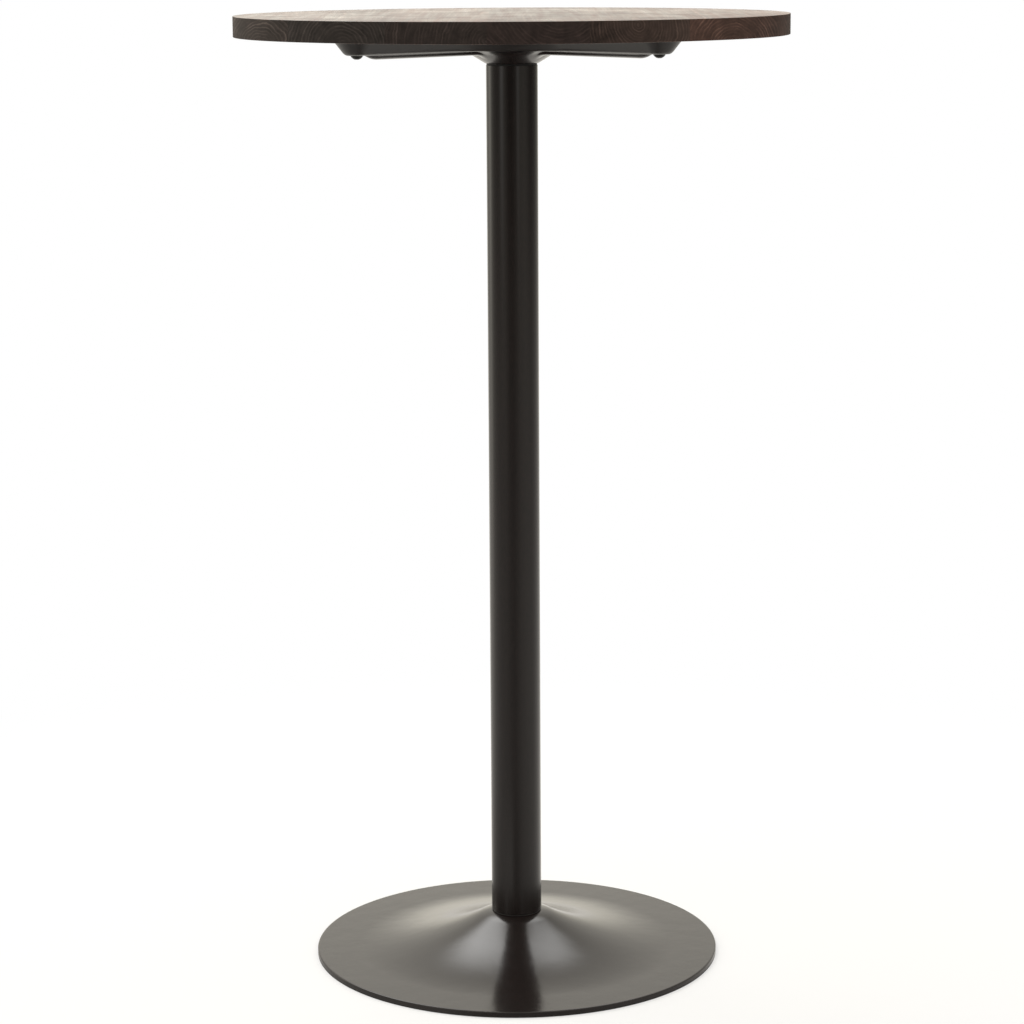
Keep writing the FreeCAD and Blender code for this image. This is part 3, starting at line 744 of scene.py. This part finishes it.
def make_world():
    """White to the camera. What gleams sees walls, a glow low behind the table and a pale ceiling."""
    world = bpy.data.worlds.new("studio_air")
    bpy.context.scene.world = world
    world.use_nodes = True
    world.node_tree.nodes.clear()
    way = Wire(world.node_tree).node("ShaderNodeTexCoord", output="Generated")
    x, y, z = way.axes()
    left_ceiling = (1.22, 1.17, 1.05, 1)
    right_ceiling = (0.95, 0.91, 0.82, 1)
    ceiling = x.smooth(-0.5, 0.5).between(left_ceiling, right_ceiling)
    air = z.smooth(0.08, 0.40).between(far_walls(x, y), ceiling)
    glow_x, glow_z = -0.03, 0.13
    glow_width, glow_height = 0.14, 0.12
    glow_gain = 0.52
    aside = (x - glow_x) / glow_width
    above = (z - glow_z) / glow_height
    spot = (aside * aside + above * above) * -1
    glow = spot.math("EXPONENT") * y.smooth(0, 0.5)
    studio = way.node("ShaderNodeBackground", None, {"Color": air, "Strength": 1 + glow_gain * glow})
    plain = way.node("ShaderNodeBackground", None, {"Color": white})
    camera_ray = way.node("ShaderNodeLightPath", output="Is Camera Ray")
    way.node("ShaderNodeOutputWorld", None, {"Surface": camera_ray.mixed(studio, plain)})


def floor_finish():
    """White to the camera but for the table's shadow, and clear from below.

    What gleams sees painted light on it: brighter behind the table than in front, a painted
    shadow of the table close to the base, and a fade towards the walls.
    """
    place, end = new_finish("studio_floor")
    x, y, _ = place.axes()
    tint = (1.04, 1.0, 0.93)
    # painted light: what gleams sees the floor glow brighter behind the table and darker in front, as the
    # lamps would light it
    near = around(x, y, tint, [
        (-180, 0.32), (-150, 0.44), (-120, 0.57), (-90, 0.76), (-60, 0.84), (-25, 1.12), (0, 1.40),
        (25, 1.15), (60, 0.98), (90, 0.78), (120, 0.68), (150, 0.54), (180, 0.32),
    ])
    # painted shadow: close to the base, what gleams sees the floor darkened by the table's shadow
    under = around(x, y, tint, [
        (-180, 0.30), (-172, 0.34), (-158, 0.66), (-140, 0.62), (-110, 0.56), (-60, 0.60), (0, 1.30),
        (60, 0.94), (110, 0.70), (150, 0.55), (172, 0.34), (180, 0.30),
    ])
    away = place.node("ShaderNodeVectorMath", {"operation": "LENGTH"}, {0: place}, "Value")
    # blends the painted shadow near the base into the painted light further out
    close = away.smooth(0.35, 0.80).between(under, near)
    fading_length = 7.0
    far = 1 - (away / -fading_length).math("EXPONENT")
    gleam = place.node("ShaderNodeEmission", None, {"Color": far.between(close, far_walls(x, y))})
    lit = place.node("ShaderNodeBsdfDiffuse", None, {"Color": (0.8, 0.8, 0.8, 1)})
    plain = place.node("ShaderNodeEmission", None, {"Color": white})
    shadow_share = 0.5  # how much of the table's shadow shows close to it
    to_camera = (1 - shadow_share + shadow_share * away.smooth(0.3, 1.3)).mixed(lit, plain)
    camera_ray, glossy_ray, clear_ray = (
        place.node("ShaderNodeLightPath", output=f"Is {kind} Ray")
        for kind in ("Camera", "Glossy", "Transmission"))
    to_others = glossy_ray.math("MAXIMUM", clear_ray).mixed(lit, gleam)
    seen = camera_ray.mixed(to_others, to_camera)
    from_below = place.node("ShaderNodeNewGeometry", output="Backfacing")
    return end(from_below.mixed(seen, place.node("ShaderNodeBsdfTransparent")))


def soft_box(name, place, target, width, height, radiance):
    """A rectangular lamp that faces the target, with this radiance in its middle and less at its edges."""
    lamp = bpy.data.lights.new(name, "AREA")
    lamp.shape = "RECTANGLE"
    lamp.size = width
    lamp.size_y = height
    lamp.energy = radiance * math.pi * width * height
    lamp.use_nodes = True
    lamp.node_tree.nodes.clear()
    across, up, _ = Wire(lamp.node_tree).node("ShaderNodeNewGeometry", output="Parametric").axes()
    fade = 1
    for distance in (across, 1 - across, up, 1 - up):
        fade = distance.smooth(0, soft_edge) * fade
    light = across.node("ShaderNodeEmission", None, {"Color": white, "Strength": fade})
    across.node("ShaderNodeOutputLight", None, {"Surface": light})
    stand = bpy.data.objects.new(name, lamp)
    stand.location = place
    stand.rotation_euler = (Vector(target) - Vector(place)).to_track_quat("-Z", "Y").to_euler()
    stand.visible_camera = False
    bpy.context.collection.objects.link(stand)


make_world()
floor_shape = bmesh.new()
bmesh.ops.create_circle(floor_shape, cap_ends=False, segments=base_segments,
                        radius=base_radius - floor_overlap)
outer = bmesh.ops.extrude_edge_only(floor_shape, edges=floor_shape.edges[:])["geom"]
growth = floor_radius / base_radius
bmesh.ops.scale(floor_shape, vec=(growth, growth, 1),
                verts=[item for item in outer if isinstance(item, bmesh.types.BMVert)])
bmesh.ops.translate(floor_shape, vec=(0, 0, -floor_gap), verts=floor_shape.verts)
bmesh.ops.recalc_face_normals(floor_shape, faces=floor_shape.faces)
if floor_shape.faces[:][0].normal.z < 0:
    bmesh.ops.reverse_faces(floor_shape, faces=floor_shape.faces)
floor = new_piece("studio_floor", floor_shape, floor_finish())

soft_box("key_box", place=(-1.33, 1.97, 3.34), target=base_middle, width=3.8, height=3.25, radiance=4.25)
soft_box("fill_box", place=(0.91, 2.15, 3.40), target=base_middle, width=2.35, height=2.85, radiance=2.75)
soft_box("left_panel", place=(-3.00, -2.70, panel_height), target=(0, 0, panel_height),
         width=1.6, height=2.2, radiance=0.90)
soft_box("right_panel", place=(1.70, -3.62, panel_height), target=(0, 0, panel_height),
         width=1.2, height=2.2, radiance=0.65)

camera_data = bpy.data.cameras.new("camera")
camera_data.lens = 103.898
camera_data.sensor_width = 36.0
camera_data.shift_y = -0.05
camera = bpy.data.objects.new("camera", camera_data)
camera.location = (-0.002367, -3.27754, 1.15141)
camera.rotation_euler = (Matrix.Rotation(math.pi / 2 - camera_tilt, 3, "X")
                         @ Matrix.Rotation(-camera_roll, 3, "Z")).to_euler()
bpy.context.collection.objects.link(camera)
bpy.context.scene.camera = camera
bpy.context.scene.view_settings.view_transform = "Standard"
